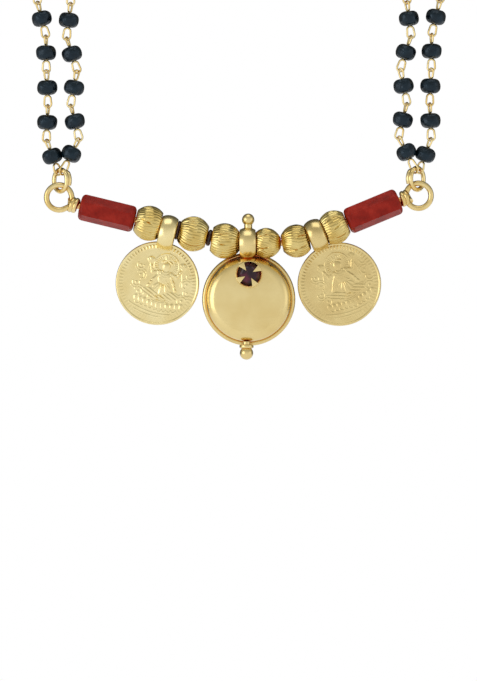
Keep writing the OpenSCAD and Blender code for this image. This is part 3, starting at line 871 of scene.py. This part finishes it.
bead_shape = glass_bead()
middle_link = link(low_eye_off, low_eye_r, 0, high_eye_off, high_eye_r)
last_link = link(low_eye_off, low_eye_r, 0, pitch / 2, wide_eye_r)
nape = []
for name, strand in strands.items():
    *places, last_place = units(strand["turn"], strand["hold"], strand["run"])
    first_link = link(strand["hold"], wide_eye_r, -ring_yaw - pi / 2, high_eye_off, high_eye_r)
    shapes = [first_link] + [middle_link] * (len(places) - 1)
    for side, mirrored in (("left", Matrix()), ("right", to_right)):
        nape.append(mirrored @ last_place)
        turned_beads = []
        turned_links = []
        for i, (shape, place) in enumerate(zip(shapes, places)):
            twist = link_twist * sin(golden * i)
            turned_beads.append((bead_shape, mirrored @ place @ Matrix.Rotation(golden * i, 4, "Z")))
            turned_links.append((shape, mirrored @ place @ Matrix.Rotation(twist, 4, "Z")))
        beads = piece("glass_beads_%s_%s" % (name, side), join(turned_beads), black_glass, crease=60)
        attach(beads, "necklace")
        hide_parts("beads_%s_%s" % (name, side), "back_%s_%s" % (name, side))
        chain = piece("wire_links_%s_%s" % (name, side), join(turned_links), link_gold, crease=60)
        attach(chain, "necklace")
        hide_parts("links_%s_%s" % (name, side))

# The last bead and link of each strand, hooked on the end rings
last_shapes = {"beads": (bead_shape, black_glass, "black_glass"),
               "links": (last_link, link_gold, "link_gold")}
for name, (shape, stuff, slot) in last_shapes.items():
    ends = piece("last_" + name, join((shape, place) for place in nape), stuff, crease=60)
    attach(ends, "necklace")
    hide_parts("nape_" + name)


# End rings and clasp
# Two soldered rings gather the strands at the nape, and a barrel clasp joins them. It is turned from
# brass and plated, with a knurled grip and a loop at each end.

end_low, end_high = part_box("end_ring_left")
end_centre = (end_low + end_high) / 2 / mm - bar_height / mm * up
clasp_r = 1.7
clasp_centre = Vector((0, 0, end_centre.z))
clasp_loop_r = 0.95
clasp_loop_d = 0.6
clasp_loop_x = -end_centre.x - ring_r
knurls = 9
knurl_pitch = 0.22
end_ring = drawn_wire(arc(end_centre, across, up, ring_r, 0, 360, 48)[:-1], ring_wire_d, closed=True)
for side, place in (("left", Matrix()), ("right", to_right)):
    ring = piece("end_ring_of_wire_" + side, join([(end_ring, place)]), link_gold)
    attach(ring, "necklace")
    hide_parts("end_ring_" + side)

half = clasp_loop_x - 0.9
barrel = [(0, half), (clasp_r * 0.7, half), (clasp_r * 0.9, half - 0.08), (clasp_r, half - 0.35)]
for i in range(knurls):
    h = half - 0.9 - i * knurl_pitch
    barrel += [(clasp_r, h + 0.07), (clasp_r - 0.06, h), (clasp_r, h - 0.07)]
barrel += [(clasp_r, 0.1), (clasp_r - 0.12, 0.05)]
barrel += [(radius, -height) for radius, height in barrel[::-1]]
parts = [(to_mesh(turned(barrel, 48)), Matrix.Translation(clasp_centre) @ along_wire)]
for side, lift in ((-1, 0), (1, lift_right)):
    centre = clasp_centre + Vector((side * clasp_loop_x, 0, lift))
    loop = drawn_wire(arc(centre, across, back, clasp_loop_r, 0, 360, 32)[:-1], clasp_loop_d, closed=True)
    parts.append((loop, Matrix()))
clasp = piece("barrel_clasp", join(parts), link_gold)
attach(clasp, "necklace")
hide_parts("clasp")


# Studio
# The photograph was taken straight on through a long lens, against plain white and in soft light:
# a large soft box on the left, weaker ones on the right and above, and a white floor.

# The photograph's frame, at 0.15 mm to a pixel
frame_w, frame_h = 477, 681
view_width = 71.55
view_centre = Vector((-0.05, 0, -194.9)) * mm
distance = 0.6
film_h = 36
# The floor's half width and its height, in metres
floor_half, floor_z = 0.45, -0.3

camera = bpy.data.objects.new("camera", bpy.data.cameras.new("camera"))
bpy.context.scene.collection.objects.link(camera)
camera.location = view_centre + Vector((0, -distance, 0))
camera.rotation_euler = (pi / 2, 0, 0)
camera.data.sensor_fit = "VERTICAL"
camera.data.sensor_height = film_h
camera.data.lens = film_h * distance / (view_width * mm * frame_h / frame_w)
bpy.context.scene.camera = camera
bpy.context.scene.view_settings.view_transform = "Standard"

bm = bmesh.new()
bmesh.ops.create_grid(bm, x_segments=1, y_segments=1, size=floor_half,
                      matrix=Matrix.Translation((0, 0, floor_z)))
floor_mesh = to_mesh(bm)
floor = bpy.data.objects.new("floor", floor_mesh)
bpy.context.scene.collection.objects.link(floor)
# Matt white card: even, with a faint cloudiness from its fibres
white_card, tree, shader = new_material("matt_white_card")
fibre = add(tree, "TexNoise", {"Vector": add(tree, "TexCoord").outputs["Object"], "Scale": 1 / (25 * mm)})
tone = add(tree, "ValToRGB", {"Fac": fibre.outputs["Fac"]}, [(0, "#f4f4f4"), (1, "#fafafa")])
connect(tree, shader, {"Base Color": tone.outputs["Color"], "Roughness": 0.9})
floor_mesh.materials.append(white_card)


def soft_box(name, place, size, glow):
    """Square soft box facing the necklace; glow is how bright its cloth is beside the white backdrop."""
    lamp = bpy.data.lights.new(name, "AREA")
    lamp.size = size
    lamp.energy = glow * pi * size * size
    box = bpy.data.objects.new(name, lamp)
    bpy.context.scene.collection.objects.link(box)
    box.location = place
    box.rotation_euler = (view_centre - Vector(place)).to_track_quat("-Z", "Y").to_euler()
    box.visible_camera = False


soft_box("key_left", (-0.6, -0.4, -0.13), 0.5, 1.35)
soft_box("fill_right", (0.7, -0.3, -0.1), 0.4, 0.35)
soft_box("top", (0, -0.1, 0.45), 0.5, 1.1)

# The camera sees a white backdrop. What the metal mirrors is the room: white behind the camera, dark
# behind the necklace, and a little darker toward the ceiling
world = bpy.data.worlds.new("white_studio")
bpy.context.scene.world = world
world.use_nodes = True
tree = world.node_tree
rays = add(tree, "LightPath")
toward = add(tree, "SeparateXYZ", {"Vector": add(tree, "TexCoord").outputs["Generated"]})
farther = add(tree, "MapRange", {"Value": toward.outputs["Y"], "From Min": -1})
walls = add(tree, "ValToRGB", {"Fac": farther.outputs["Result"]},
            [(0, "#f0f0f0"), (0.4, "#ececec"), (0.75, "#80807a"), (1, "#484842")])
higher = add(tree, "MapRange", {"Value": toward.outputs["Z"], "From Min": -1})
ceiling = add(tree, "ValToRGB", {"Fac": higher.outputs["Result"]}, [(0.5, "#ffffff"), (0.9, "#c2c2ba")])
room = add(tree, "Mix", {"Factor": 1, "A": walls.outputs["Color"], "B": ceiling.outputs["Color"]},
           data_type="RGBA", blend_type="MULTIPLY")
shade = add(tree, "Mix", {"Factor": rays.outputs["Is Glossy Ray"], "A": linear("#e8e8e8"),
                          "B": room.outputs["Result"]}, data_type="RGBA")
seen = add(tree, "Mix", {"Factor": rays.outputs["Is Camera Ray"], "A": shade.outputs["Result"],
                         "B": linear("#ffffff")}, data_type="RGBA")
connect(tree, tree.nodes["Background"], {"Color": seen.outputs["Result"]})
